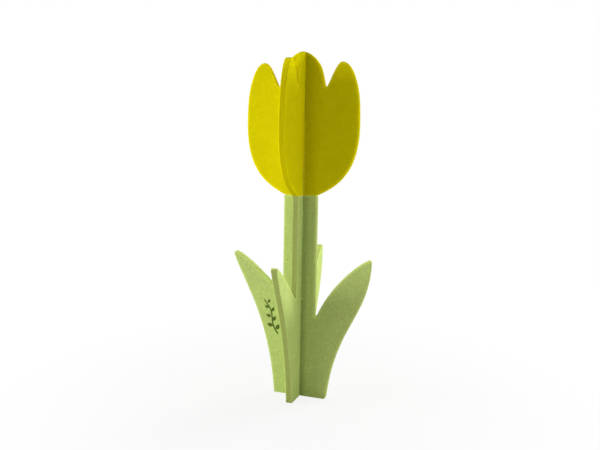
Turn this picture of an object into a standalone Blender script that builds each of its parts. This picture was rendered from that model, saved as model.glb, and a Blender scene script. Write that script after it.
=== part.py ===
"""Felt tulip: a standing ornament of four felt cut-outs that slot together crosswise.

Two green panels make the stem with its four leaves, and stand on their straight lower edges.
Two yellow panels make the bloom, which sits on top of the stem round a square felt tongue.
Lengths are in metres, +Z is up, and the origin is on the table under the line where the panels cross.
"""

import collections
import math

import bmesh
import bpy
from mathutils import Matrix, Vector

MM = 0.001

# Felt board
FELT_THICKNESS = 4.0 * MM
CLEARANCE = 0.3 * MM  # between two pieces that touch

# Stem
STEM_HEIGHT = 134.9 * MM
STEM_HALF_WIDTH = 10.9 * MM
STEM_LAP_HEIGHT = 67.5 * MM  # where the two stem slots meet, above the table
TONGUE_LENGTH = 30.0 * MM  # above the top of the stem

# Narrow leaf, on the left and in front
NARROW_LEAF_BASE = 16.3 * MM  # from the crossing line to the corner on the table
NARROW_LEAF_REACH = 44.8 * MM  # from the crossing line to the centre of the rounded tip
NARROW_LEAF_TIP_HEIGHT = 93.7 * MM
NARROW_LEAF_CROTCH = 69.2 * MM  # centre of the rounding between its upper edge and the stem

# Wide leaf, on the right and behind
WIDE_LEAF_BASE = 19.5 * MM
WIDE_LEAF_REACH = 46.1 * MM
WIDE_LEAF_TIP_HEIGHT = 93.9 * MM
WIDE_LEAF_CROTCH = 56.6 * MM

LEAF_TIP_RADIUS = 1.3 * MM
HOLLOW_RADIUS = 1.0 * MM  # in a leaf's crotch and in a notch between petals

# Bloom, with its heights above the top of the stem
BLOOM_HEIGHT = 89.7 * MM
BELLY_HALF_WIDTH = 37.0 * MM
BELLY_HEIGHT = 44.0 * MM
SHOULDER_HALF_WIDTH = 32.9 * MM  # outer side of a side petal, below its rounded tip
SHOULDER_HEIGHT = 75.1 * MM
SIDE_PETAL_REACH = 25.5 * MM  # from the crossing line to a side petal's highest point
SIDE_PETAL_HEIGHT = 83.0 * MM
NOTCH_REACH = 15.5 * MM  # centre of the rounding at the bottom of a notch
NOTCH_HEIGHT = 68.9 * MM
CENTRE_PETAL_HALF_WIDTH = 12.1 * MM  # above the notch, where the petal starts to round over
CENTRE_PETAL_SIDE_HEIGHT = 78.6 * MM
BLOOM_WEB_HEIGHT = 15.0 * MM  # felt left between the tongue's pocket and the slot above it

# Directions of the edge down into a notch from the side petal and up out of it, in degrees
NOTCH_OUTER_WAY = 240
NOTCH_INNER_WAY = 104

# How finely a curved edge is divided, and how far a cutter runs past what it cuts
CURVE_STEPS = 12
CUTTER_OVERRUN = 5.0 * MM

# Angles that the panels are turned by, about +Z
ACROSS = 0.0
FORE_AND_AFT = math.radians(90)

SLOT_WIDTH = FELT_THICKNESS + 2 * CLEARANCE
STRAIGHT_PULL = 1 / 3

Knot = collections.namedtuple("Knot", "x z arriving leaving pull_in pull_out")
Leaf = collections.namedtuple(
    "Leaf", "base reach tip_height crotch base_way outer_way inner_way crotch_way pulls"
)

# A leaf's ways are the directions of its edge, in degrees from outwards, going up its outer side
# and back down its upper side. Its pulls are the share of each run that the curve follows them.
NARROW_LEAF = Leaf(
    base=NARROW_LEAF_BASE,
    reach=NARROW_LEAF_REACH,
    tip_height=NARROW_LEAF_TIP_HEIGHT,
    crotch=NARROW_LEAF_CROTCH,
    base_way=86,
    outer_way=69,
    inner_way=203,
    crotch_way=229,
    pulls=(0.52, 0.22, 0.24, 0.23),
)
WIDE_LEAF = Leaf(
    base=WIDE_LEAF_BASE,
    reach=WIDE_LEAF_REACH,
    tip_height=WIDE_LEAF_TIP_HEIGHT,
    crotch=WIDE_LEAF_CROTCH,
    base_way=84,
    outer_way=89,
    inner_way=208,
    crotch_way=247,
    pulls=(0.52, 0.37, 0.20, 0.42),
)


def clear_scene():
    for obj in list(bpy.data.objects):
        bpy.data.objects.remove(obj, do_unlink=True)


def new_collection(name):
    collection = bpy.data.collections.new(name)
    bpy.context.scene.collection.children.link(collection)
    return collection


def felt_material(name, colour):
    """Dyed felt: matt, with a little sheen from its standing fibres."""
    material = bpy.data.materials.new(name)
    material.use_nodes = True
    shader = material.node_tree.nodes["Principled BSDF"]
    shader.inputs["Base Color"].default_value = (*colour, 1.0)
    shader.inputs["Roughness"].default_value = 0.95
    shader.inputs["Metallic"].default_value = 0.0
    shader.inputs["Sheen Weight"].default_value = 0.3
    material.diffuse_color = (*colour, 1.0)
    return material


def corner(x, z, arriving=None, leaving=None, pull_in=STRAIGHT_PULL, pull_out=STRAIGHT_PULL):
    """A knot with a straight run on each side where no way is given."""
    return Knot(x, z, arriving, leaving, pull_in, pull_out)


def smooth(x, z, way, pull_in, pull_out):
    """A knot that the edge passes through without a corner, running the given way."""
    return Knot(x, z, way, way, pull_in, pull_out)


def mirrored(knots):
    """The same run on the other side of the crossing line, followed from its end to its start."""
    return [
        Knot(
            -knot.x,
            knot.z,
            None if knot.leaving is None else -knot.leaving,
            None if knot.arriving is None else -knot.arriving,
            knot.pull_out,
            knot.pull_in,
        )
        for knot in reversed(knots)
    ]


def arc_pull(turn):
    """The pull that makes one Bezier run a circular arc through this many degrees."""
    turn = math.radians(turn)
    return 2 / 3 * math.tan(turn / 4) / math.sin(turn / 2)


def touching(centre, radius, way, pull_in, pull_out):
    """Where an edge running this way touches a circle. In a hollow the radius is negative."""
    normal = math.radians(way - 90)
    x = centre[0] + radius * math.cos(normal)
    z = centre[1] + radius * math.sin(normal)
    return smooth(x, z, way, pull_in, pull_out)


def leaf_knots(leaf):
    """A leaf's edge from its corner on the table, round the tip, to the side of the stem."""
    base_pull, outer_pull, inner_pull, crotch_pull = leaf.pulls
    tip = (leaf.reach, leaf.tip_height)
    tip_pull = arc_pull(leaf.inner_way - leaf.outer_way)
    hollow = (STEM_HALF_WIDTH + HOLLOW_RADIUS, leaf.crotch)
    hollow_pull = arc_pull(leaf.crotch_way - 90)
    return [
        corner(leaf.base, 0.0, leaving=leaf.base_way, pull_out=base_pull),
        touching(tip, LEAF_TIP_RADIUS, leaf.outer_way, outer_pull, tip_pull),
        touching(tip, LEAF_TIP_RADIUS, leaf.inner_way, tip_pull, inner_pull),
        touching(hollow, -HOLLOW_RADIUS, leaf.crotch_way, crotch_pull, hollow_pull),
        corner(STEM_HALF_WIDTH, leaf.crotch, arriving=90, pull_in=hollow_pull),
    ]


def stem_outline(tongue):
    """Both leaves and the stem between them, with a tongue on top if it is asked for."""
    side = leaf_knots(WIDE_LEAF) + [corner(STEM_HALF_WIDTH, STEM_HEIGHT)]
    other_side = mirrored(leaf_knots(NARROW_LEAF) + [corner(STEM_HALF_WIDTH, STEM_HEIGHT)])
    top = []
    if tongue:
        half_width = FELT_THICKNESS / 2
        tongue_side = [
            corner(half_width, STEM_HEIGHT),
            corner(half_width, STEM_HEIGHT + TONGUE_LENGTH),
        ]
        top = tongue_side + mirrored(tongue_side)
    return side + top + other_side


def bloom_outline():
    """Side petal, notch and half of the centre petal, and the same mirrored, from the bloom's base up."""
    notch = (NOTCH_REACH, NOTCH_HEIGHT)
    notch_pull = arc_pull(NOTCH_OUTER_WAY - NOTCH_INNER_WAY)
    half = [
        corner(STEM_HALF_WIDTH, 0.0, leaving=24, pull_out=0.36),
        smooth(BELLY_HALF_WIDTH, BELLY_HEIGHT, 90, 0.48, 0.50),
        smooth(SHOULDER_HALF_WIDTH, SHOULDER_HEIGHT, 111, 0.28, 0.30),
        smooth(SIDE_PETAL_REACH, SIDE_PETAL_HEIGHT, 180, 0.34, 0.20),
        touching(notch, -HOLLOW_RADIUS, NOTCH_OUTER_WAY, 0.30, notch_pull),
        touching(notch, -HOLLOW_RADIUS, NOTCH_INNER_WAY, notch_pull, 0.33),
        smooth(CENTRE_PETAL_HALF_WIDTH, CENTRE_PETAL_SIDE_HEIGHT, 105, 0.33, 0.30),
    ]
    top = smooth(0.0, BLOOM_HEIGHT, 180, 0.28, 0.28)
    return half + [top] + mirrored(half)


def handle_end(knot, way, reach):
    angle = math.radians(way)
    return Vector((knot.x + reach * math.cos(angle), knot.z + reach * math.sin(angle), 0.0))


def panel_curve(name, knots):
    """A closed Bezier outline in the curve's own XY plane, filled and extruded to the felt's thickness."""
    curve = bpy.data.curves.new(name, "CURVE")
    curve.dimensions = "2D"
    curve.fill_mode = "BOTH"
    curve.extrude = FELT_THICKNESS / 2
    curve.resolution_u = CURVE_STEPS
    curve.render_resolution_u = 0
    spline = curve.splines.new("BEZIER")
    spline.bezier_points.add(len(knots) - 1)
    spline.use_cyclic_u = True
    for index, (knot, point) in enumerate(zip(knots, spline.bezier_points)):
        before = knots[index - 1]
        after = knots[(index + 1) % len(knots)]
        point.co = (knot.x, knot.z, 0.0)
        point.handle_left_type = "VECTOR" if knot.arriving is None else "FREE"
        point.handle_right_type = "VECTOR" if knot.leaving is None else "FREE"
        if knot.arriving is not None:
            run = math.hypot(knot.x - before.x, knot.z - before.z)
            point.handle_left = handle_end(knot, knot.arriving, -knot.pull_in * run)
        if knot.leaving is not None:
            run = math.hypot(after.x - knot.x, after.z - knot.z)
            point.handle_right = handle_end(knot, knot.leaving, knot.pull_out * run)
    return curve


def add_panel(name, knots, material, collection, turn, base_height):
    """A felt cut-out standing upright on the crossing line, with its own origin on that line."""
    curve = panel_curve(name, knots)
    outline = bpy.data.objects.new(name + "_outline", curve)
    outline.matrix_world = (
        Matrix.Translation((0.0, 0.0, base_height))
        @ Matrix.Rotation(turn, 4, "Z")
        @ Matrix.Rotation(math.radians(90), 4, "X")
    )
    collection.objects.link(outline)
    graph = bpy.context.evaluated_depsgraph_get()
    mesh = bpy.data.meshes.new_from_object(outline.evaluated_get(graph))
    mesh.name = name
    mesh.materials.clear()
    mesh.materials.append(material)
    welded = bmesh.new()
    welded.from_mesh(mesh)
    bmesh.ops.remove_doubles(welded, verts=welded.verts, dist=0.001 * MM)
    bmesh.ops.recalc_face_normals(welded, faces=welded.faces)
    welded.to_mesh(mesh)
    welded.free()
    panel = bpy.data.objects.new(name, mesh)
    panel.matrix_world = outline.matrix_world
    collection.objects.link(panel)
    bpy.data.objects.remove(outline, do_unlink=True)
    return panel


def cut_slot(panel, name, cutters, turn, low, high):
    """Cuts a slot as wide as the crossing felt and its clearance, between two heights above the table."""
    size = Vector((SLOT_WIDTH, FELT_THICKNESS + 2 * CUTTER_OVERRUN, high - low))
    block = bmesh.new()
    bmesh.ops.create_cube(block, size=1.0, matrix=Matrix.Diagonal((*size, 1.0)))
    mesh = bpy.data.meshes.new(name)
    block.to_mesh(mesh)
    block.free()
    cutter = bpy.data.objects.new(name, mesh)
    cutter.location = (0.0, 0.0, (low + high) / 2)
    cutter.rotation_euler = (0.0, 0.0, turn)
    cutter.display_type = "WIRE"
    cutter.hide_render = True
    cutters.objects.link(cutter)
    boolean = panel.modifiers.new(name, "BOOLEAN")
    boolean.operation = "DIFFERENCE"
    boolean.solver = "EXACT"
    boolean.object = cutter


def add_stem(parts, cutters, material):
    """The two stem panels: one slotted from its top, the other from the table up, half of the way each."""
    across = add_panel("stem_panel_across", stem_outline(False), material, parts, ACROSS, 0.0)
    cut_slot(
        across,
        "stem_top_slot",
        cutters,
        ACROSS,
        STEM_LAP_HEIGHT - CLEARANCE / 2,
        STEM_HEIGHT + CUTTER_OVERRUN,
    )
    fore_and_aft = add_panel(
        "stem_panel_fore_and_aft", stem_outline(True), material, parts, FORE_AND_AFT, 0.0
    )
    cut_slot(
        fore_and_aft,
        "stem_foot_slot",
        cutters,
        FORE_AND_AFT,
        -CUTTER_OVERRUN,
        STEM_LAP_HEIGHT + CLEARANCE / 2,
    )


def add_bloom(parts, cutters, material):
    """The two bloom panels: one slotted from its top and pocketed for the tongue, one slotted from below."""
    base = STEM_HEIGHT + CLEARANCE
    pocket_top = STEM_HEIGHT + TONGUE_LENGTH + CLEARANCE
    lap_height = pocket_top + BLOOM_WEB_HEIGHT
    fore_and_aft = add_panel(
        "bloom_panel_fore_and_aft", bloom_outline(), material, parts, FORE_AND_AFT, base
    )
    cut_slot(
        fore_and_aft,
        "tongue_pocket",
        cutters,
        FORE_AND_AFT,
        base - CUTTER_OVERRUN,
        pocket_top,
    )
    cut_slot(
        fore_and_aft,
        "bloom_top_slot",
        cutters,
        FORE_AND_AFT,
        lap_height,
        base + BLOOM_HEIGHT + CUTTER_OVERRUN,
    )
    across = add_panel("bloom_panel_across", bloom_outline(), material, parts, ACROSS, base)
    cut_slot(
        across,
        "bloom_foot_slot",
        cutters,
        ACROSS,
        base - CUTTER_OVERRUN,
        lap_height + CLEARANCE,
    )


def main():
    clear_scene()
    parts = new_collection("felt_tulip")
    cutters = new_collection("slot_cutters")
    add_stem(parts, cutters, felt_material("green_felt", (0.43, 0.54, 0.16)))
    add_bloom(parts, cutters, felt_material("yellow_felt", (0.68, 0.61, 0.01)))


main()
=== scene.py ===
"""Felt tulip: four slotted felt cut-outs with soft edges, standing on a pale table under studio lamps."""

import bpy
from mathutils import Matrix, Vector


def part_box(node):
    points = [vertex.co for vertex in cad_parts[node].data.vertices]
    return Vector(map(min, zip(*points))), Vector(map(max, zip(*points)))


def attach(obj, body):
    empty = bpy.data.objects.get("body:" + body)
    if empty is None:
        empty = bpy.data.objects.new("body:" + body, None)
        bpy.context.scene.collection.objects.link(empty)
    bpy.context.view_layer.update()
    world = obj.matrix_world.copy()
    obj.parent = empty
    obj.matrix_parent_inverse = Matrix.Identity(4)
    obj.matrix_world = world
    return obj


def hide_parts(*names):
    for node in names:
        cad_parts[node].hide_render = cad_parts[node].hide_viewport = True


bl_info = {
    "name": "Felt Tulip",
    "version": (1, 0, 0),
    "blender": (4, 5, 0),
    "location": "View3D > Sidebar > Felt Tulip",
    "description": "Dresses a slot-together felt tulip in thick dyed felt and sets it on a table",
    "category": "Add Mesh",
}

import collections
import math

import bmesh
import bpy
import numpy as np
from bpy.props import FloatProperty, FloatVectorProperty, PointerProperty
from bpy.types import Operator, Panel, PropertyGroup
from mathutils import Matrix, Vector, noise
from mathutils.geometry import delaunay_2d_cdt

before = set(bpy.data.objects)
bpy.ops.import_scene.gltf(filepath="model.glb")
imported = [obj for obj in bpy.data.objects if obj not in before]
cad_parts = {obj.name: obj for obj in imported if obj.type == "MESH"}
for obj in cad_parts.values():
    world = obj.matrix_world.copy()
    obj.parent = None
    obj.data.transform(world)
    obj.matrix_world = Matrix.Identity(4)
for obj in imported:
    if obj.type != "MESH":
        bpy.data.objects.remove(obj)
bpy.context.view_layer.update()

MM = 0.001
FACING_VIEWER = 0.0
FORE_AND_AFT = math.radians(90)

STEM_LOW, STEM_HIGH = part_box("stem_panel_across")
HALF_FELT = (STEM_HIGH.y - STEM_LOW.y) / 2
STEM_TOP = STEM_HIGH.z
BLOOM_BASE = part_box("bloom_panel_across")[0].z

# A felt piece: the CAD node that it stands for, its body, the name of its felt, its turn about +Z and the
# seed of its unevenness
FeltPiece = collections.namedtuple("FeltPiece", "name node body slot turn seed")
STEM_PIECES = (
    FeltPiece("stem_felt_across", "stem_panel_across", "stem_across", "green_felt", FACING_VIEWER, 1.0),
    FeltPiece(
        "stem_felt_fore_and_aft",
        "stem_panel_fore_and_aft",
        "stem_fore_and_aft",
        "green_felt",
        FORE_AND_AFT,
        2.0,
    ),
)
BLOOM_PIECES = (
    FeltPiece(
        "bloom_felt_fore_and_aft",
        "bloom_panel_fore_and_aft",
        "bloom_fore_and_aft",
        "yellow_felt",
        FORE_AND_AFT,
        3.0,
    ),
    FeltPiece(
        "bloom_felt_across", "bloom_panel_across", "bloom_across", "yellow_felt", FACING_VIEWER, 4.0
    ),
)

# Points closer than this are one point, and points within this depth of a panel's front face lie on it
WELD = 0.001 * MM
FACE_DEPTH = 10 * WELD

# A turn flatter than the first is dropped and one sharper than the second is a corner, and so is the meeting
# of two sides of which one is this many times as long
FLAT_TURN = math.radians(0.2)
SHARP_TURN = math.radians(25)
UNLIKE_SIDES = 3.0

# A corner's rounding takes at most this share of the sides beside it
CORNER_SHARE = 0.4
CORNER_STEPS = 4
CURVE_STEPS = 8

# The CAD's slots and its seat for the bloom have less clearance than this, and the felt closes to this ease
SLOT_ROOM = 0.35 * MM
SEAT_ROOM = 0.1 * MM
SLOT_EASE = 0.08 * MM

# Lengths of a sheet's waves across and up, and how far from the crossing line and from the table they start
# and are full
WAVE_LENGTHS = (38 * MM, 46 * MM)
FREE_OF_CROSSING = (3 * MM, 22 * MM)
FREE_OF_TABLE = (0, 25 * MM)

# How far from the crossing line the bow in front starts and is full, and the share of it that fades out
# between these heights
BOW_REACH = (2.4 * MM, 25 * MM)
BOW_FADE = 0.4
BOW_FADE_HEIGHTS = (165 * MM, 205 * MM)

# Broad and fine lumps of a face, how high the fine ones are beside the broad ones, and how far from the
# crossing line both start and are full
BROAD_LUMPS = 4.5 * MM
FINE_LUMPS = 1.9 * MM
FINE_SHARE = 0.6
NAP_REACH = (2.2 * MM, 6 * MM)

# Steps between the layers of noise that the pieces, their two sides, the fine lumps and the cut edges take
PIECE_STEP = 7
SIDE_STEP = 3
FINE_STEP = 50
CUT_STEP = 5

# How far from the crossing line, and from the table and the stem's top, a cut edge starts to be free and is
# wholly free. A held edge has only this share of a free one's arris.
EDGE_REACH = (2.4 * MM, 5 * MM)
EDGE_HEIGHTS = (0, 3 * MM)
HELD_ARRIS = 0.2

# Steps of the mesh round an arris and through a cut edge
ARC_STEPS = 4
WALL_STEPS = 6

# How far a rim stretches at a corner is limited by this cosine. A face's inner points keep this share of the
# mesh spacing from its rim.
LEAST_COSINE = 0.7
RIM_MARGIN = 0.7

# What the triangulation is told: to keep the triangles inside the rim, and how close points are the same
TRIANGLES_INSIDE = 1
SAME_POINT = 1e-9

# Roughness of a cut edge: its depth, its length along the edge and through the felt, and where it starts
# beside the crossing and above the table
ROUGH_DEPTH = 0.07 * MM
ROUGH_ALONG = 1.6 * MM
ROUGH_THROUGH = 0.9 * MM
ROUGH_BESIDE = 3 * MM
ROUGH_ABOVE = 1 * MM

# How much a cut edge faces up where its painted top light starts and where it is full. Upward cut edges
# are painted paler, as if lit from above.
TOP_LIGHT_FACING = (0.2, 0.7)

# How far down a cut edge its pale arris reaches, and how pale that is beside an upper edge. The pale arris
# is partly worn fuzz and partly a painted highlight of the light that a rounded arris catches.
PALE_ARRIS_REACH = 0.8 * MM
ARRIS_WEAR_AND_HIGHLIGHT = {"green_felt": 0.45, "yellow_felt": 1.0}

# How a felt is dyed and painted: its colour, how bright its cut edge is beside its face, how much paler
# its edges are (worn fuzz, painted highlight and painted top light), how much darker painted crease shade
# makes the panel across, its sheen, its grain and its gloss
Dye = collections.namedtuple("Dye", "colour cut worn pressed sheen grain gloss")
GREEN_GLOSS = 0.06
YELLOW_GLOSS = 0.0

# A cut edge is a little browner than the pressed face
CUT_TINT = (1.04, 1.0, 0.85)

# How far from the crossing line the panels across are painted darker, as painted crease shade, fully and at
# all, and the colour of that painted shade
CREASE_SHADE_REACH = {"green_felt": (2 * MM, 7.5 * MM), "yellow_felt": (2 * MM, 14 * MM)}
CREASE_SHADE_COLOUR = (0.0, 0.0, 0.0)

# A pattern in the felt: its scale in lumps per metre, its detail, its roughness and its swirl
Pattern = collections.namedtuple("Pattern", "scale detail roughness swirl")
FIBRES = Pattern(900.0, 5.0, 0.62, 2.2)
TUFTS = Pattern(420.0, 3.0, 0.55, 0.8)
BLOTCHES = Pattern(130.0, 2.0, 0.5, 0.0)
PLIES = Pattern(7.0, 3.0, 0.6, 0.0)
ALONG_PLIES = Pattern(160.0, 2.0, 0.5, 0.0)
HAIRS = Pattern(2600.0, 3.0, 0.6, 1.0)
INKED_FIBRES = Pattern(1100.0, 5.0, 0.62, 2.2)

# The part of a pattern's values that is stretched to 0..1. Where an arris or an upper edge is painted pale,
# even the darkest fibres are, a little.
FIBRE_VALUES = (0.32, 0.68)
TUFT_VALUES = (0.34, 0.66)
SOFT_VALUES = (0.35, 0.65)
WEAR_AND_LIGHT_VALUES = (-0.6, 1.0)

# How much of a tuft or a blotch shows, and its brightness beside the dye. Then the brightness of the darkest
# and the palest ply, how high the hairs are beside the fibres, and the brightness of the darkest and the
# palest inked fibre.
TUFT_SHARE, TUFT_BRIGHTNESS = 0.5, 1.12
BLOTCH_SHARE, BLOTCH_BRIGHTNESS = 0.4, 0.93
PLY_BRIGHTNESS = (0.88, 1.12)
HAIR_SHARE = 0.6
INK_BRIGHTNESS = (0.8, 1.35)

# The printed sprig: the foot and the way of its stalk on the leaf. Then the stalk's length, how far and how
# often it sways, and its half width at the foot and how much of that it loses to the tip.
SPRIG_FOOT = (-13.9 * MM, 41.0 * MM)
SPRIG_WAY = math.radians(112.5)
STALK_LENGTH = 25 * MM
STALK_SWAY = 1.1 * MM
STALK_SWAYS = 2.2
STALK_HALF_WIDTH = 0.55 * MM
STALK_TAPER = 0.2 * MM
STALK_STEPS = 28
SLOPE_STEP = 0.01

# The sprig's leaves: where on the stalk the first is and how far on each next one, as shares of the stalk,
# the first one's length and how much shorter each next one is, and how far they stand off and turn from the
# stalk
SPRIG_LEAVES = 7
FIRST_LEAF_AT = 0.10
NEXT_LEAF_AFTER = 0.125
SPRIG_LEAF_LENGTH = 4.3 * MM
SPRIG_LEAF_SHORTENING = 0.22 * MM
SPRIG_LEAF_OFF = 0.85 * MM
SPRIG_LEAF_WAY = math.radians(48)
SPRIG_LEAF_STEPS = 10

# A sprig leaf's half width beside its length, and how pointed its ends are. The width is this much fuller at
# its foot and loses this much of that to its tip.
SPRIG_LEAF_FULLNESS = 0.3
SPRIG_LEAF_POINT = 0.8
SPRIG_LEAF_FOOT = 1.25
SPRIG_LEAF_TAPER = 0.5

# The ink's film: how proud of the felt it stands, how deep it sinks in, and its least width
INK_PROUD = 0.05 * MM
INK_DEPTH = 0.1 * MM
INK_LEAST = 0.02 * MM

# The camera's place in metres, its turns in degrees, and its lens and sensor in millimetres
CAMERA_PLACE = (0.12408, -0.38219, 0.17097)
CAMERA_ANGLES = (82.1064, -1.0569, 18.1982)
CAMERA_LENS = 37.401
CAMERA_SENSOR = 36.0

# How far the table reaches, in metres. Close to the tulip's foot the camera sees this share of plain white,
# and what it sees of the shadowed table fades out between these distances.
TABLE_REACH = 3.0
NEAR_WHITE = 0.85
SHADOW_REACH = (0.05, 0.22)

WHITE = (1.0, 1.0, 1.0, 1.0)

# The height in metres that every lamp looks at, and its distance from there
LAMP_AIM = 0.11
LAMP_DISTANCE = 1.2

# A lamp's direction from the tulip, in degrees: azimuth from the viewer's side towards +X, and height. Then
# its size in metres and its watts.
Lamp = collections.namedtuple("Lamp", "name azimuth height size watts")
LAMPS = (
    Lamp("key_softbox", -61, 3, 0.3, 5.6),
    Lamp("front_softbox", -46, 3, 0.3, 1.5),
    Lamp("left_softbox", -76, 3, 0.3, 5.8),
    Lamp("back_softbox", 149, 4, 0.35, 9.0),
    Lamp("high_back_softbox", 140, 20, 0.35, 3.2),
    Lamp("top_softbox", 165, 82, 0.5, 2.6),
    Lamp("right_softbox", 90, 3, 0.3, 2.8),
)


class FeltSettings(PropertyGroup):
    """The felt's dyes, its painted light and shade, and its sizes"""

    green: FloatVectorProperty(
        name="Green felt",
        description="Dye of the stem and its leaves",
        subtype="COLOR",
        size=3,
        min=0,
        max=1,
        default=(0.485, 0.595, 0.178),
    )
    yellow: FloatVectorProperty(
        name="Yellow felt",
        description="Dye of the bloom",
        subtype="COLOR",
        size=3,
        min=0,
        max=1,
        default=(0.70, 0.62, 0.002),
    )
    green_cut: FloatProperty(
        name="Green cut edge",
        description="How bright the green felt's cut edge is beside its pressed face",
        subtype="FACTOR",
        min=0,
        max=1,
        default=0.66,
    )
    yellow_cut: FloatProperty(
        name="Yellow cut edge",
        description="How bright the yellow felt's cut edge is beside its pressed face",
        subtype="FACTOR",
        min=0,
        max=1,
        default=0.79,
    )
    green_sheen: FloatProperty(
        name="Green sheen",
        description="How much the green felt's loose fibres catch light that comes from the side",
        subtype="FACTOR",
        min=0,
        max=1,
        default=0.7,
    )
    yellow_sheen: FloatProperty(
        name="Yellow sheen",
        description="How much the yellow felt's loose fibres catch light that comes from the side",
        subtype="FACTOR",
        min=0,
        max=1,
        default=0.05,
    )
    green_grain: FloatProperty(
        name="Green grain",
        description="How far the green felt's fibres differ from its dye, in brightness",
        subtype="FACTOR",
        min=0,
        max=1,
        default=0.36,
    )
    yellow_grain: FloatProperty(
        name="Yellow grain",
        description="How far the yellow felt's fibres differ from its dye, in brightness",
        subtype="FACTOR",
        min=0,
        max=1,
        default=0.16,
    )
    # Pale edges: worn fuzz and painted highlight on arrises, painted top light on upward cut edges
    green_wear_and_painted_light: FloatProperty(
        name="Green worn edge",
        description="How much paler the green felt is on the cut edges that face up, which are teased most",
        subtype="FACTOR",
        min=0,
        max=1,
        default=0.5,
    )
    yellow_wear_and_painted_light: FloatProperty(
        name="Yellow worn edge",
        description="How much paler the yellow felt is on the cut edges that face up, which are teased most",
        subtype="FACTOR",
        min=0,
        max=1,
        default=0.3,
    )
    # Painted crease shade: how much darker the panels across are painted beside the crossing line
    green_crease_shade: FloatProperty(
        name="Green pressed felt",
        description="How much darker the green panel across is beside the crossing, where it is pressed",
        subtype="FACTOR",
        min=0,
        max=1,
        default=0.32,
    )
    yellow_crease_shade: FloatProperty(
        name="Yellow pressed felt",
        description="How much darker the yellow panel across is beside the crossing, where it is pressed",
        subtype="FACTOR",
        min=0,
        max=1,
        default=0.25,
    )
    # Painted top light: how far the cut edges that face up are painted pale, as if lit from above
    painted_top_light: FloatProperty(
        name="Upper edges",
        description="How far the cut edges that face up, which are handled most, are teased to pale felt",
        subtype="FACTOR",
        min=0,
        max=1,
        default=1.0,
    )
    grid: FloatProperty(
        name="Mesh spacing",
        description="Distance between points on the faces",
        subtype="DISTANCE",
        unit="LENGTH",
        default=1.1 * MM,
    )
    rim: FloatProperty(
        name="Rim spacing",
        description="Distance between points along the cut edge",
        subtype="DISTANCE",
        unit="LENGTH",
        default=0.7 * MM,
    )
    arris: FloatProperty(
        name="Arris radius",
        description="Rounding between the face and the cut edge",
        subtype="DISTANCE",
        unit="LENGTH",
        default=0.52 * MM,
    )
    fuzz: FloatProperty(
        name="Fuzz",
        description="How far the loose fibres of a free edge stand out beyond the cut",
        subtype="DISTANCE",
        unit="LENGTH",
        default=0.15 * MM,
    )
    corner: FloatProperty(
        name="Corner rounding",
        description="How far a sharp corner of the outline is rounded back",
        subtype="DISTANCE",
        unit="LENGTH",
        default=0.75 * MM,
    )
    wave: FloatProperty(
        name="Sheet wave",
        description="How far the felt sheet wanders out of its plane",
        subtype="DISTANCE",
        unit="LENGTH",
        default=0.25 * MM,
    )
    bow: FloatProperty(
        name="Bow in front",
        description="How far the front halves of the panels that run fore and aft bow to the left",
        subtype="DISTANCE",
        unit="LENGTH",
        default=1.12 * MM,
    )
    nap: FloatProperty(
        name="Nap",
        description="Unevenness of the felted surface",
        subtype="DISTANCE",
        unit="LENGTH",
        default=0.05 * MM,
    )


class PrintSettings(PropertyGroup):
    """The print on the left leaf"""

    ink: FloatVectorProperty(
        name="Ink",
        description="Colour of the small sprig printed on the left leaf",
        subtype="COLOR",
        size=3,
        min=0,
        max=1,
        default=(0.085, 0.125, 0.02),
    )


class StageSettings(PropertyGroup):
    """The table and the room's light"""

    table_colour: FloatVectorProperty(
        name="Table",
        description="Colour of the table top",
        subtype="COLOR",
        size=3,
        min=0,
        max=1,
        default=(0.86, 0.86, 0.86),
    )
    sky: FloatProperty(
        name="Room light",
        description="Strength of the even light from all round",
        min=0,
        default=0.34,
    )


# Outlines


def turn_at(before, here, after):
    """How far the outline turns at a point, to either side."""
    a = here - before
    b = after - here
    return abs(a.angle_signed(b))


def cap_outline(piece):
    """The piece's outline in its own plane, read from the CAD node: (u, z) points, counterclockwise."""
    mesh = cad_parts[piece.node].data
    to_panel = Matrix.Rotation(-piece.turn, 3, "Z")
    front = -HALF_FELT + FACE_DEPTH
    keys = []
    places = {}
    for vertex in mesh.vertices:
        point = to_panel @ vertex.co
        key = (round(point.x / WELD), round(point.z / WELD)) if point.y < front else None
        keys.append(key)
        if key:
            places[key] = Vector((point.x, point.z))
    edges = set()
    for face in mesh.polygons:
        corners = [keys[index] for index in face.vertices]
        if None in corners:
            continue
        edges.update(zip(corners, corners[1:] + corners[:1]))
    following = {a: b for a, b in edges if (b, a) not in edges}
    start = min(following)
    outline = [start]
    while following[outline[-1]] != start:
        outline.append(following[outline[-1]])
    points = [places[key] for key in outline]
    kept = []
    for index, here in enumerate(points):
        if turn_at(points[index - 1], here, points[(index + 1) % len(points)]) > FLAT_TURN:
            kept.append(here)
    return kept


def close_up(point):
    """Felt meets felt where the CAD has its clearance: slots narrow, and the bloom sits down on the stem."""
    u, z = point
    eased = HALF_FELT + SLOT_EASE
    if eased < abs(u) < HALF_FELT + SLOT_ROOM:
        u = math.copysign(eased, u)
    if abs(z - BLOOM_BASE) < SEAT_ROOM:
        z = STEM_TOP + SLOT_EASE
    return Vector((u, z))


def is_corner(points, index):
    """Whether a smooth run of the outline ends here."""
    before, here, after = points[index - 1], points[index], points[(index + 1) % len(points)]
    lengths = sorted(((here - before).length, (after - here).length))
    return turn_at(before, here, after) > SHARP_TURN or lengths[1] > UNLIKE_SIDES * lengths[0]


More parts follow.
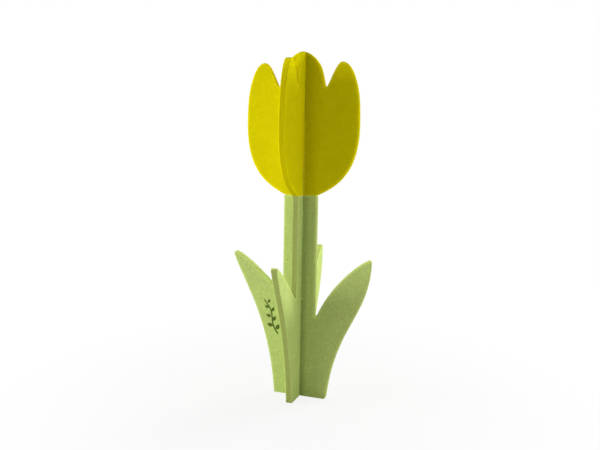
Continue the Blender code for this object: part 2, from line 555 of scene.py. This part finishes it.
def round_corners(points, size):
    """The outline with a short curve at each sharp corner, which is tighter where felt fits into felt."""
    rounded = []
    for index, here in enumerate(points):
        before, after = points[index - 1], points[(index + 1) % len(points)]
        if turn_at(before, here, after) < SHARP_TURN:
            rounded.append(here)
            continue
        fitted = abs(here.x) < HALF_FELT + 2 * SLOT_EASE
        reach = SLOT_EASE if fitted else size
        back, onward = before - here, after - here
        near = here + back.normalized() * min(reach, back.length * CORNER_SHARE)
        far = here + onward.normalized() * min(reach, onward.length * CORNER_SHARE)
        for step in range(CORNER_STEPS + 1):
            t = step / CORNER_STEPS
            rounded.append(near * (1 - t) ** 2 + here * 2 * t * (1 - t) + far * t**2)
    return rounded


def curve_through(points, steps):
    """A smooth run through the points, with slopes that lean to the shorter neighbour."""
    if len(points) == 2:
        return list(points)
    lengths = [(b - a).length for a, b in zip(points, points[1:])]
    slopes = [(b - a) / length for a, b, length in zip(points, points[1:], lengths)]
    tangents = []
    for index in range(1, len(points) - 1):
        share = lengths[index - 1] / (lengths[index - 1] + lengths[index])
        tangents.append(slopes[index - 1] * (1 - share) + slopes[index] * share)
    tangents = [2 * slopes[0] - tangents[0]] + tangents + [2 * slopes[-1] - tangents[-1]]
    run = [points[0]]
    for index, length in enumerate(lengths):
        a, b = points[index], points[index + 1]
        out, back = tangents[index] * length, tangents[index + 1] * length
        for step in range(1, steps + 1):
            t = step / steps
            run.append(
                a * (2 * t**3 - 3 * t**2 + 1)
                + out * (t**3 - 2 * t**2 + t)
                + b * (3 * t**2 - 2 * t**3)
                + back * (t**3 - t**2)
            )
    return run


def evenly(run, spacing):
    """The run at an even spacing, without its last point."""
    reach = [0.0]
    for a, b in zip(run, run[1:]):
        reach.append(reach[-1] + (b - a).length)
    count = max(1, round(reach[-1] / spacing))
    at = np.linspace(0, reach[-1], count + 1)[:-1]
    us = np.interp(at, reach, [point.x for point in run])
    zs = np.interp(at, reach, [point.y for point in run])
    return [Vector(pair) for pair in zip(us, zs)]


def soft_outline(piece, settings):
    """The cut-out's outline with smooth curves, small corner roundings and closely spaced points."""
    points = [close_up(point) for point in cap_outline(piece)]
    points = round_corners(points, settings.corner)
    corners = [index for index in range(len(points)) if is_corner(points, index)]
    outline = []
    for first, last in zip(corners, corners[1:] + [corners[0] + len(points)]):
        run = [points[index % len(points)] for index in range(first, last + 1)]
        outline.extend(evenly(curve_through(run, CURVE_STEPS), settings.rim))
    return outline


# Felt sheets


def smoothstep(low, high, value):
    """0 up to the low value, 1 from the high one, and smooth between."""
    t = min(max((value - low) / (high - low), 0.0), 1.0)
    return t * t * (3 - 2 * t)


def bend(piece, settings, u, z):
    """How far the whole sheet lies out of its plane, which is nothing at the crossing."""
    free = smoothstep(*FREE_OF_CROSSING, abs(u)) * smoothstep(*FREE_OF_TABLE, z)
    spot = Vector((u / WAVE_LENGTHS[0], z / WAVE_LENGTHS[1], piece.seed))
    wave = settings.wave * free * noise.noise(spot)
    bowed = smoothstep(*BOW_REACH, -u) * (1 - BOW_FADE * smoothstep(*BOW_FADE_HEIGHTS, z))
    return wave + (settings.bow * bowed if piece.turn == FORE_AND_AFT else 0.0)


def nap(piece, settings, u, z, side):
    """Unevenness of one face, in thickness. Each face of each piece has a layer of the noise to itself."""
    layer = piece.seed * PIECE_STEP + side * SIDE_STEP
    broad = noise.noise(Vector((u / BROAD_LUMPS, z / BROAD_LUMPS, layer)))
    fine = noise.noise(Vector((u / FINE_LUMPS, z / FINE_LUMPS, layer + FINE_STEP)))
    return settings.nap * smoothstep(*NAP_REACH, abs(u)) * (broad + FINE_SHARE * fine)


def rough_cut(piece, u, z, w):
    """How far in the knife's roughness puts a spot of the cut edge."""
    if z <= ROUGH_ABOVE or abs(u) <= ROUGH_BESIDE:
        return 0.0
    spot = Vector((u / ROUGH_ALONG, z / ROUGH_ALONG, w / ROUGH_THROUGH + piece.seed * CUT_STEP))
    return ROUGH_DEPTH * noise.noise(spot)


def free_edge(u, z):
    """1 on a free edge, down to 0 in the slots, on the table and where the bloom sits on the stem."""
    level = smoothstep(*EDGE_HEIGHTS, z) * smoothstep(*EDGE_HEIGHTS, abs(z - STEM_TOP))
    return level * smoothstep(*EDGE_REACH, abs(u))


def inward_normals(outline):
    """Unit normals pointing into the felt, stretched a little at corners so that a rim keeps its width."""
    normals = []
    for index, here in enumerate(outline):
        before = (here - outline[index - 1]).normalized()
        after = (outline[(index + 1) % len(outline)] - here).normalized()
        normal = Vector((-(before + after).y, (before + after).x)).normalized()
        normals.append(normal / max(LEAST_COSINE, normal.dot(Vector((-after.y, after.x)))))
    return normals


def inside(points, outline):
    """Which points lie inside the outline."""
    ring = np.array(outline)
    after = np.roll(ring, -1, axis=0)
    result = np.zeros(len(points), bool)
    for a, b in zip(ring, after):
        if a[1] == b[1]:
            continue
        crosses = (a[1] > points[:, 1]) != (b[1] > points[:, 1])
        reach = a[0] + (points[:, 1] - a[1]) / (b[1] - a[1]) * (b[0] - a[0])
        result ^= crosses & (points[:, 0] < reach)
    return result


def face_points(ring, spacing):
    """A staggered grid of points inside the ring, clear of it by most of a step."""
    low = np.min(ring, axis=0)
    high = np.max(ring, axis=0)
    row_step = spacing * math.sqrt(3) / 2
    rows = np.arange(low[1], high[1], row_step)
    columns = np.arange(low[0], high[0], spacing)
    us, zs = np.meshgrid(columns, rows)
    us = us + (np.arange(len(rows)) % 2)[:, None] * spacing / 2
    points = np.stack([us.ravel(), zs.ravel()], 1)
    points = points[inside(points, ring)]
    nearest = np.full(len(points), np.inf)
    for corner in np.array(ring):
        nearest = np.minimum(nearest, ((points - corner) ** 2).sum(axis=1))
    return points[nearest > (RIM_MARGIN * spacing) ** 2]


def edge_profile():
    """Levels from one face's rim over the cut edge to the other's. Each has its inset and its depth, both as
    shares of the arris radius, and its place on the straight wall between the arrises, from -1 to 1."""
    arc = []
    for step in range(ARC_STEPS):
        angle = math.radians(90) * (1 - step / ARC_STEPS)
        arc.append((1 - math.cos(angle), -math.sin(angle), -1.0))
    wall = [(0.0, 0.0, 2 * step / WALL_STEPS - 1) for step in range(WALL_STEPS + 1)]
    return arc + wall + [(inset, -deep, -share) for inset, deep, share in reversed(arc)]


def face_triangles(rim, spacing):
    """A face inside its rim: its points, for each the rim's point that it is or None, and its triangles."""
    count = len(rim)
    coords = rim + [Vector(pair) for pair in face_points(rim, spacing)]
    edges = [(index, (index + 1) % count) for index in range(count)]
    points, _, triangles, sources, _, _ = delaunay_2d_cdt(
        coords, edges, [], TRIANGLES_INSIDE, SAME_POINT
    )
    on_rim = [next((index for index in source if index < count), None) for source in sources]
    return points, on_rim, triangles


def cut_line(piece, settings):
    """The line of the cut: each point with its fuzz, its inward normal and the radius of its arris."""
    line = []
    outline = soft_outline(piece, settings)
    for point, normal in zip(outline, inward_normals(outline)):
        free = free_edge(point.x, point.y)
        radius = settings.arris * (HELD_ARRIS + (1 - HELD_ARRIS) * free)
        line.append((point - normal * settings.fuzz * free, normal, radius))
    return line


def point_placer(bm, piece, settings):
    """A function that puts a point on the bent sheet and notes there what the material needs to know."""
    # Layers: cut edge, ply, pale edges of wear and painted light, and painted crease shade
    cut = bm.verts.layers.float.new("cut_edge_less_top_light")
    ply = bm.verts.layers.float.new("ply")
    worn = bm.verts.layers.float.new("worn")
    pressed = bm.verts.layers.float.new("pressed")

    def place(u, z, w, how_cut=0.0, how_wear_and_painted_light=0.0, up=0.0):
        side = -1 if w < 0 else 1
        lift = nap(piece, settings, u, z, side) * (1 - how_cut)
        vertex = bm.verts.new((u, w + bend(piece, settings, u, z) + side * lift, z))
        # Painted top light: cut edges that face up lose their darkening
        vertex[cut] = how_cut * (1 - settings.painted_top_light * up)
        vertex[ply] = w / HALF_FELT
        vertex[worn] = how_wear_and_painted_light
        # Painted crease shade on the panel across, darkest at the crossing where the other panel shades it
        near = 1 - smoothstep(*CREASE_SHADE_REACH[piece.slot], abs(u))
        vertex[pressed] = near if piece.turn == FACING_VIEWER else 0.0
        return vertex

    return place


def edge_rings(piece, settings, line, place):
    """Rings of points over the cut edge, from one face's rim to the other's."""
    rings = []
    for level, (inset, deep, share) in enumerate(edge_profile()):
        on_wall = ARC_STEPS <= level <= ARC_STEPS + WALL_STEPS
        how_cut = 1.0 if on_wall else 1 - inset**0.5
        ring = []
        for point, normal, radius in line:
            w = (HALF_FELT - radius) * share + radius * deep
            # Painted top light on cut edges that face up; pale arrises are worn fuzz and painted highlight
            up = smoothstep(*TOP_LIGHT_FACING, -normal.y)
            teased = ARRIS_WEAR_AND_HIGHLIGHT[piece.slot] * (1 - (HALF_FELT - abs(w)) / PALE_ARRIS_REACH)
            rough = rough_cut(piece, point.x, point.y, w) if on_wall else 0.0
            spot = point + normal * (inset * radius + rough)
            ring.append(place(spot.x, spot.y, w, how_cut, max(up * settings.painted_top_light, teased), up))
        rings.append(ring)
    return rings


def felt_mesh(piece, settings):
    """A felt cut-out: two faces, rounded arrises and a slightly rough cut edge, as one closed mesh."""
    bm = bmesh.new()
    place = point_placer(bm, piece, settings)
    line = cut_line(piece, settings)
    rings = edge_rings(piece, settings, line, place)
    for lower, upper in zip(rings, rings[1:]):
        for index in range(len(line)):
            after = (index + 1) % len(line)
            bm.faces.new((lower[index], lower[after], upper[after], upper[index]))

    rim = [point + normal * radius for point, normal, radius in line]
    points, on_rim, triangles = face_triangles(rim, settings.grid)
    for side, ring in ((-1, rings[0]), (1, rings[-1])):
        vertices = []
        for point, index in zip(points, on_rim):
            vertices.append(place(point.x, point.y, side * HALF_FELT) if index is None else ring[index])
        for triangle in triangles:
            corners = [vertices[index] for index in triangle]
            bm.faces.new(corners if side < 0 else corners[::-1])

    bmesh.ops.recalc_face_normals(bm, faces=bm.faces)
    for face in bm.faces:
        face.smooth = True
    bm.transform(Matrix.Rotation(piece.turn, 4, "Z"))
    mesh = bpy.data.meshes.new(piece.name)
    bm.to_mesh(mesh)
    bm.free()
    return mesh


# Materials


def noise_node(tree, place, pattern):
    """The pattern's value at each place."""
    node = tree.nodes.new("ShaderNodeTexNoise")
    node.inputs["Scale"].default_value = pattern.scale
    node.inputs["Detail"].default_value = pattern.detail
    node.inputs["Roughness"].default_value = pattern.roughness
    node.inputs["Distortion"].default_value = pattern.swirl
    tree.links.new(place, node.inputs["Vector"])
    return node.outputs["Fac"]


def mix_colours(tree, factor, first, second):
    """The first colour at 0 and the second at 1. Either may be a socket or a plain colour."""
    node = tree.nodes.new("ShaderNodeMix")
    node.data_type = "RGBA"
    tree.links.new(factor, node.inputs[0])
    for socket, value in ((node.inputs[6], first), (node.inputs[7], second)):
        if isinstance(value, bpy.types.NodeSocket):
            tree.links.new(value, socket)
        else:
            socket.default_value = (*value, 1.0)
    return node.outputs[2]


def math_node(tree, operation, first, second):
    """The result of the operation. Either value may be a socket or a plain number."""
    node = tree.nodes.new("ShaderNodeMath")
    node.operation = operation
    for socket, value in zip(node.inputs, (first, second)):
        if isinstance(value, bpy.types.NodeSocket):
            tree.links.new(value, socket)
        else:
            socket.default_value = value
    return node.outputs[0]


def spread(tree, value, ends):
    """The value, with the range between the two ends stretched to 0..1."""
    node = tree.nodes.new("ShaderNodeMapRange")
    node.inputs["From Min"].default_value, node.inputs["From Max"].default_value = ends
    tree.links.new(value, node.inputs["Value"])
    return node.outputs["Result"]


def attribute(tree, name):
    """What the mesh says of each of its points under this name."""
    node = tree.nodes.new("ShaderNodeAttribute")
    node.attribute_name = name
    return node.outputs["Fac"]


def times(colour, factor):
    """The colour, brighter or darker by the factor."""
    return tuple(channel * factor for channel in colour)


def seen_directly(tree):
    """1 for what the camera sees, straight or by gloss or glass, and 0 for what lights the tulip."""
    path = tree.nodes.new("ShaderNodeLightPath")
    seen = math_node(tree, "MAXIMUM", path.outputs["Is Camera Ray"], path.outputs["Is Glossy Ray"])
    return math_node(tree, "MAXIMUM", seen, path.outputs["Is Transmission Ray"])


def face_colour(tree, place, fibres, dye):
    """The faces: matted fibres, tufts and soft blotches, with painted crease shade by the crossing."""
    tufts = spread(tree, noise_node(tree, place, TUFTS), TUFT_VALUES)
    blotches = spread(tree, noise_node(tree, place, BLOTCHES), SOFT_VALUES)
    tufts = math_node(tree, "MULTIPLY", tufts, TUFT_SHARE)
    blotches = math_node(tree, "MULTIPLY", blotches, BLOTCH_SHARE)
    colour = dye.colour
    face = mix_colours(tree, fibres, times(colour, 1 - dye.grain), times(colour, 1 + dye.grain))
    face = mix_colours(tree, tufts, face, times(colour, TUFT_BRIGHTNESS))
    face = mix_colours(tree, blotches, face, times(colour, BLOTCH_BRIGHTNESS))
    # Painted crease shade: darker towards black close to the crossing line
    crease_shade_amount = math_node(tree, "MULTIPLY", attribute(tree, "pressed"), dye.pressed)
    return mix_colours(tree, crease_shade_amount, face, CREASE_SHADE_COLOUR)


def edge_colour(tree, place, dye):
    """The cut edges: darker and a little browner than the faces, and layered in plies."""
    across_plies = tree.nodes.new("ShaderNodeCombineXYZ")
    tree.links.new(attribute(tree, "ply"), across_plies.inputs["X"])
    tree.links.new(noise_node(tree, place, ALONG_PLIES), across_plies.inputs["Y"])
    plies = spread(tree, noise_node(tree, across_plies.outputs["Vector"], PLIES), SOFT_VALUES)
    brown = tuple(channel * tint * dye.cut for channel, tint in zip(dye.colour, CUT_TINT))
    return mix_colours(tree, plies, *(times(brown, brightness) for brightness in PLY_BRIGHTNESS))


def felt_bump(tree, place, fibres):
    """Fibres and hairs that stand up a little, as a normal."""
    hairs = noise_node(tree, place, HAIRS)
    height = math_node(tree, "ADD", fibres, math_node(tree, "MULTIPLY", hairs, HAIR_SHARE))
    bump = tree.nodes.new("ShaderNodeBump")
    bump.inputs["Strength"].default_value = 0.5
    bump.inputs["Distance"].default_value = 0.12 * MM
    tree.links.new(height, bump.inputs["Height"])
    return bump.outputs["Normal"]


def felt_material(piece, dye):
    """Dyed felt faces and cut edges, with pale edges of wear, painted highlight and painted top light."""
    material = bpy.data.materials.new(piece.name)
    material.use_nodes = True
    tree = material.node_tree
    mapping = tree.nodes.new("ShaderNodeMapping")
    mapping.inputs["Rotation"].default_value = (0.0, 0.0, -piece.turn)
    mapping.inputs["Location"].default_value = (piece.seed, piece.seed, piece.seed)
    tree.links.new(tree.nodes.new("ShaderNodeTexCoord").outputs["Object"], mapping.inputs["Vector"])
    place = mapping.outputs["Vector"]
    fibres = spread(tree, noise_node(tree, place, FIBRES), FIBRE_VALUES)

    face = face_colour(tree, place, fibres, dye)
    dyed = mix_colours(tree, attribute(tree, "cut_edge_less_top_light"), face, edge_colour(tree, place, dye))
    # Pale edges: worn fuzz with painted highlight on arrises, painted top light on upward cut edges
    teased = math_node(tree, "MULTIPLY", attribute(tree, "worn"), spread(tree, fibres, WEAR_AND_LIGHT_VALUES))
    worn = mix_colours(tree, teased, dyed, times(dye.colour, 1 + dye.worn))

    shader = tree.nodes["Principled BSDF"]
    tree.links.new(worn, shader.inputs["Base Color"])
    tree.links.new(felt_bump(tree, place, fibres), shader.inputs["Normal"])
    shader.inputs["Roughness"].default_value = 0.95
    shader.inputs["Metallic"].default_value = 0.0
    shader.inputs["Specular IOR Level"].default_value = dye.gloss
    shader.inputs["Sheen Weight"].default_value = dye.sheen
    shader.inputs["Sheen Roughness"].default_value = 0.5
    shader.inputs["Sheen Tint"].default_value = (*dye.colour, 1.0)
    material.diffuse_color = (*dye.colour, 1.0)
    return material


def ink_material(colour):
    """Ink soaked into felt: finer fibres, dark and matt."""
    material = bpy.data.materials.new("dark_green_ink")
    material.use_nodes = True
    tree = material.node_tree
    shader = tree.nodes["Principled BSDF"]
    place = tree.nodes.new("ShaderNodeTexCoord").outputs["Object"]
    fibres = spread(tree, noise_node(tree, place, INKED_FIBRES), SOFT_VALUES)
    inked = mix_colours(tree, fibres, *(times(colour, brightness) for brightness in INK_BRIGHTNESS))
    tree.links.new(inked, shader.inputs["Base Color"])
    shader.inputs["Roughness"].default_value = 0.9
    shader.inputs["Specular IOR Level"].default_value = 0.15
    material.diffuse_color = (*colour, 1.0)
    return material


def table_material(colour):
    """A pale table that the camera sees as white, with the tulip's soft shadow left close round its foot."""
    material = bpy.data.materials.new("pale_table")
    material.use_nodes = True
    tree = material.node_tree
    shader = tree.nodes["Principled BSDF"]
    shader.inputs["Base Color"].default_value = (*colour, 1.0)
    shader.inputs["Roughness"].default_value = 0.9
    shader.inputs["Specular IOR Level"].default_value = 0.1
    glow = tree.nodes.new("ShaderNodeEmission")
    glow.inputs["Color"].default_value = WHITE
    glow.inputs["Strength"].default_value = 1.0
    place = tree.nodes.new("ShaderNodeTexCoord").outputs["Object"]
    away = tree.nodes.new("ShaderNodeVectorMath")
    away.operation = "LENGTH"
    tree.links.new(place, away.inputs[0])
    near = tree.nodes.new("ShaderNodeMapRange")
    near.interpolation_type = "SMOOTHSTEP"
    near.inputs["From Min"].default_value, near.inputs["From Max"].default_value = SHADOW_REACH
    near.inputs["To Min"].default_value = NEAR_WHITE
    tree.links.new(away.outputs["Value"], near.inputs["Value"])
    share = math_node(tree, "MULTIPLY", seen_directly(tree), near.outputs["Result"])
    mixed = tree.nodes.new("ShaderNodeMixShader")
    tree.links.new(share, mixed.inputs["Fac"])
    tree.links.new(shader.outputs["BSDF"], mixed.inputs[1])
    tree.links.new(glow.outputs["Emission"], mixed.inputs[2])
    tree.links.new(mixed.outputs["Shader"], tree.nodes["Material Output"].inputs["Surface"])
    return material


# Pieces


def add_felt(piece, dye, settings):
    """A felt cut-out in the place of its CAD panel."""
    mesh = felt_mesh(piece, settings)
    mesh.materials.append(felt_material(piece, dye))
    felt = bpy.data.objects.new(piece.name, mesh)
    bpy.context.scene.collection.objects.link(felt)
    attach(felt, piece.body)
    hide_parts(piece.node)


def sprig_shapes():
    """The sprig's stalk and leaves in a plane, along +x from its foot, each as pairs of edge points."""

    def stalk_at(t):
        return Vector((STALK_LENGTH * t, STALK_SWAY * math.sin(STALK_SWAYS * math.pi * t)))

    stalk = []
    for step in range(STALK_STEPS + 1):
        t = step / STALK_STEPS
        here = stalk_at(t)
        way = (stalk_at(t + SLOPE_STEP) - stalk_at(t - SLOPE_STEP)).normalized()
        across = Vector((-way.y, way.x))
        half_width = STALK_HALF_WIDTH - STALK_TAPER * t
        stalk.append((here - across * half_width, here + across * half_width))
    shapes = [stalk]
    for index in range(SPRIG_LEAVES):
        way = SPRIG_LEAF_WAY if index % 2 else -SPRIG_LEAF_WAY
        ahead = Vector((math.cos(way), math.sin(way)))
        across = Vector((-ahead.y, ahead.x))
        foot = stalk_at(FIRST_LEAF_AT + NEXT_LEAF_AFTER * index) + ahead * SPRIG_LEAF_OFF
        length = SPRIG_LEAF_LENGTH - SPRIG_LEAF_SHORTENING * index
        leaf = []
        for step in range(SPRIG_LEAF_STEPS + 1):
            t = step / SPRIG_LEAF_STEPS
            swelling = math.sin(math.pi * t) ** SPRIG_LEAF_POINT
            half_width = SPRIG_LEAF_FULLNESS * length * swelling * (SPRIG_LEAF_FOOT - SPRIG_LEAF_TAPER * t)
            middle = foot + ahead * length * t
            leaf.append((middle - across * half_width, middle + across * half_width))
        shapes.append(leaf)
    return shapes


def add_sprig(settings, felt_settings):
    """A small generic sprig printed down the front of the left leaf, as thin closed films of ink."""
    piece = STEM_PIECES[0]
    bm = bmesh.new()
    foot = Vector(SPRIG_FOOT)
    turn = Matrix.Rotation(SPRIG_WAY, 2)

    def on_leaf(point, proud):
        u, z = point
        w = bend(piece, felt_settings, u, z) - nap(piece, felt_settings, u, z, -1) - HALF_FELT - proud
        return bm.verts.new((u, w, z))

    for pairs in sprig_shapes():
        rails = []
        for a, b in pairs:
            a, b = foot + turn @ a, foot + turn @ b
            if (a - b).length < INK_LEAST:
                b = a + Vector((INK_LEAST, 0.0))
            above = [on_leaf(a, INK_PROUD), on_leaf(b, INK_PROUD)]
            rails.append([*above, on_leaf(b, -INK_DEPTH), on_leaf(a, -INK_DEPTH)])
        for first, second in zip(rails, rails[1:]):
            for index in range(len(first)):
                after = (index + 1) % len(first)
                bm.faces.new((first[index], first[after], second[after], second[index]))
        bm.faces.new(rails[0][::-1])
        bm.faces.new(rails[-1])
    bmesh.ops.recalc_face_normals(bm, faces=bm.faces)
    mesh = bpy.data.meshes.new("printed_sprig")
    bm.to_mesh(mesh)
    bm.free()
    mesh.materials.append(ink_material(settings.ink))
    sprig = bpy.data.objects.new("printed_sprig", mesh)
    bpy.context.scene.collection.objects.link(sprig)
    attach(sprig, piece.body)


# Stage


def add_camera():
    """The camera, where the viewer stands."""
    camera = bpy.data.cameras.new("viewer")
    camera.sensor_width = CAMERA_SENSOR
    camera.lens = CAMERA_LENS
    camera.clip_start = 0.01
    camera.clip_end = 10.0
    viewer = bpy.data.objects.new("viewer", camera)
    viewer.location = CAMERA_PLACE
    viewer.rotation_euler = [math.radians(angle) for angle in CAMERA_ANGLES]
    bpy.context.scene.collection.objects.link(viewer)
    bpy.context.scene.camera = viewer


def add_lamp(lamp):
    """A square softbox that faces the tulip."""
    data = bpy.data.lights.new(lamp.name, "AREA")
    data.shape = "SQUARE"
    data.size = lamp.size
    data.energy = lamp.watts
    azimuth, height = math.radians(lamp.azimuth), math.radians(lamp.height)
    away = Vector(
        (math.sin(azimuth) * math.cos(height), -math.cos(azimuth) * math.cos(height), math.sin(height))
    )
    holder = bpy.data.objects.new(lamp.name, data)
    holder.location = Vector((0.0, 0.0, LAMP_AIM)) + away * LAMP_DISTANCE
    holder.rotation_mode = "QUATERNION"
    holder.rotation_quaternion = away.to_track_quat("Z", "Y")
    bpy.context.scene.collection.objects.link(holder)


def add_table(colour):
    """A wide table top at the tulip's foot."""
    bm = bmesh.new()
    bmesh.ops.create_grid(bm, x_segments=1, y_segments=1, size=TABLE_REACH)
    mesh = bpy.data.meshes.new("table")
    bm.to_mesh(mesh)
    bm.free()
    mesh.materials.append(table_material(colour))
    table = bpy.data.objects.new("table", mesh)
    bpy.context.scene.collection.objects.link(table)


def add_room_light(strength):
    """Even light from all round. The camera sees it as white."""
    world = bpy.data.worlds.new("studio")
    bpy.context.scene.world = world
    world.use_nodes = True
    tree = world.node_tree
    light = tree.nodes["Background"]
    light.inputs["Color"].default_value = WHITE
    light.inputs["Strength"].default_value = strength
    white = tree.nodes.new("ShaderNodeBackground")
    white.inputs["Color"].default_value = WHITE
    white.inputs["Strength"].default_value = 1.0
    mixed = tree.nodes.new("ShaderNodeMixShader")
    tree.links.new(seen_directly(tree), mixed.inputs["Fac"])
    tree.links.new(light.outputs["Background"], mixed.inputs[1])
    tree.links.new(white.outputs["Background"], mixed.inputs[2])
    tree.links.new(mixed.outputs["Shader"], tree.nodes["World Output"].inputs["Surface"])


# Operators and panel


class FELTTULIP_OT_stem(Operator):
    """Make the two green felt cut-outs of the stem and its leaves"""

    bl_idname = "felt_tulip.stem"
    bl_label = "Stem and Leaves"

    def execute(self, context):
        settings = context.scene.felt_tulip_felt
        dye = Dye(
            settings.green,
            settings.green_cut,
            settings.green_wear_and_painted_light,
            settings.green_crease_shade,
            settings.green_sheen,
            settings.green_grain,
            GREEN_GLOSS,
        )
        for piece in STEM_PIECES:
            add_felt(piece, dye, settings)
        return {"FINISHED"}


class FELTTULIP_OT_bloom(Operator):
    """Make the two yellow felt cut-outs of the bloom"""

    bl_idname = "felt_tulip.bloom"
    bl_label = "Bloom"

    def execute(self, context):
        settings = context.scene.felt_tulip_felt
        dye = Dye(
            settings.yellow,
            settings.yellow_cut,
            settings.yellow_wear_and_painted_light,
            settings.yellow_crease_shade,
            settings.yellow_sheen,
            settings.yellow_grain,
            YELLOW_GLOSS,
        )
        for piece in BLOOM_PIECES:
            add_felt(piece, dye, settings)
        return {"FINISHED"}


class FELTTULIP_OT_sprig(Operator):
    """Print the small sprig on the left leaf"""

    bl_idname = "felt_tulip.sprig"
    bl_label = "Printed Sprig"

    def execute(self, context):
        add_sprig(context.scene.felt_tulip_print, context.scene.felt_tulip_felt)
        return {"FINISHED"}


class FELTTULIP_OT_stage(Operator):
    """Set the table, the lamps, the room's light and the camera"""

    bl_idname = "felt_tulip.stage"
    bl_label = "Table, Lamps and Camera"

    def execute(self, context):
        settings = context.scene.felt_tulip_stage
        add_table(settings.table_colour)
        for lamp in LAMPS:
            add_lamp(lamp)
        add_room_light(settings.sky)
        add_camera()
        context.scene.view_settings.view_transform = "Standard"
        return {"FINISHED"}


class FELTTULIP_PT_sidebar(Panel):
    """Settings and steps of the felt tulip"""

    bl_label = "Felt Tulip"
    bl_space_type = "VIEW_3D"
    bl_region_type = "UI"
    bl_category = "Felt Tulip"

    def draw(self, context):
        for group in SETTINGS:
            box = self.layout.box()
            for name in SETTINGS[group].__annotations__:
                box.prop(getattr(context.scene, group), name)
        for operator in STEPS:
            self.layout.operator(operator.bl_idname)


SETTINGS = {
    "felt_tulip_felt": FeltSettings,
    "felt_tulip_print": PrintSettings,
    "felt_tulip_stage": StageSettings,
}
STEPS = (FELTTULIP_OT_stem, FELTTULIP_OT_bloom, FELTTULIP_OT_sprig, FELTTULIP_OT_stage)


def register():
    for cls in (*SETTINGS.values(), *STEPS, FELTTULIP_PT_sidebar):
        bpy.utils.register_class(cls)
    for name, group in SETTINGS.items():
        setattr(bpy.types.Scene, name, PointerProperty(type=group))


def unregister():
    for name in SETTINGS:
        delattr(bpy.types.Scene, name)
    for cls in reversed((*SETTINGS.values(), *STEPS, FELTTULIP_PT_sidebar)):
        bpy.utils.unregister_class(cls)


def main():
    register()
    bpy.ops.felt_tulip.stem()
    bpy.ops.felt_tulip.bloom()
    bpy.ops.felt_tulip.sprig()
    bpy.ops.felt_tulip.stage()


if __name__ == "__main__":
    main()
